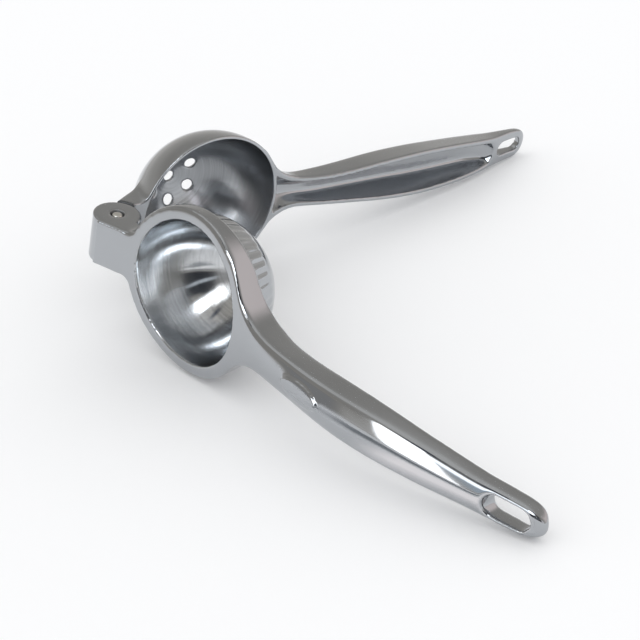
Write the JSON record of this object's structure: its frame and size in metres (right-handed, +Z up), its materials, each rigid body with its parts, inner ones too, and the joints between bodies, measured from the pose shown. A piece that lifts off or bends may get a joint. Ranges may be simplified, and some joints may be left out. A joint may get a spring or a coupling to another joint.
{
  "type": "hinged lemon squeezer",
  "caption": "Hand-held hinged citrus squeezer: a fluted press dome on one channelled arm swings on a steel pin into a drilled strainer cup on the other; both tips have hang slots",
  "frame": {"origin": "on the ground under the middle of the resting squeezer, which lies on its side held open", "axes": "+Z up from the ground, +Y from the press arm's tip to the strainer arm's tip, +X from the hinge toward the open side between the two tips"},
  "size_m": [0.1636, 0.2722, 0.0624],
  "materials": {
    "press_casting": "polished outer faces, brushed side faces",
    "strainer_casting": "polished, with a smooth bowl",
    "pin": "peened ends"
  },
  "bodies": {
    "strainer": {"strainer_arm": "strainer_casting"},
    "press": {"press_arm": "press_casting", "hinge_pin": "pin"}
  },
  "joints": [
    {"name": "hinge", "type": "hinge", "parent": "strainer", "child": "press", "pos_m": [-0.0713, -0.00036, 0.03801], "axis": [0.2139, 0.0025, 0.9769], "range_deg": [-40, 80]}
  ]
}
